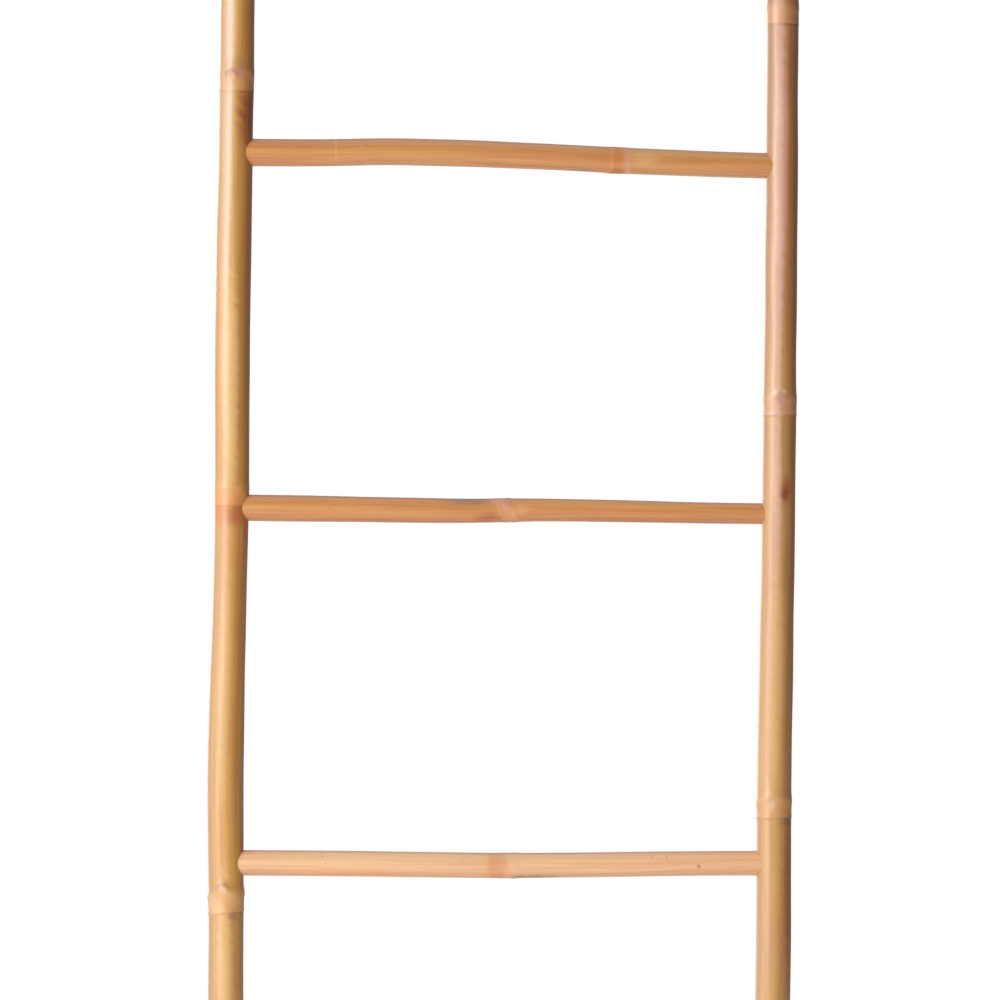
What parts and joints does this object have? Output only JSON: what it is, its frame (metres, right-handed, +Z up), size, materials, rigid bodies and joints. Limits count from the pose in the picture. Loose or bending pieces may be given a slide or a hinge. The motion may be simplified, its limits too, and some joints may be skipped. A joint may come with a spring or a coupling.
{
  "type": "bamboo blanket ladder",
  "caption": "Free-standing bamboo ladder rack: two upright canes joined by round rungs, which hold folded quilts, blankets or towels.",
  "frame": {"origin": "on the floor, midway between the two feet", "axes": "+Z up along the rails, +X from the left rail to the right rail seen from the front, and the front faces -Y"},
  "size_m": [0.5049, 0.0328, 1.5],
  "materials": {
    "bamboo_pole": "clear gloss varnish over golden bamboo skin",
    "bamboo_rung": "satin varnish over orange-tan bamboo skin",
    "steel_nail": "plain bright steel"
  },
  "bodies": {
    "root": {"rail_left": "bamboo_pole", "rail_right": "bamboo_pole", "rung_1": "bamboo_rung", "rung_2": "bamboo_rung", "rung_3": "bamboo_rung", "rung_4": "bamboo_rung", "rung_5": "bamboo_rung", "nail_left_1": "steel_nail", "nail_left_2": "steel_nail", "nail_left_3": "steel_nail", "nail_left_4": "steel_nail", "nail_left_5": "steel_nail", "nail_right_1": "steel_nail", "nail_right_2": "steel_nail", "nail_right_3": "steel_nail", "nail_right_4": "steel_nail", "nail_right_5": "steel_nail"}
  },
  "joints": []
}
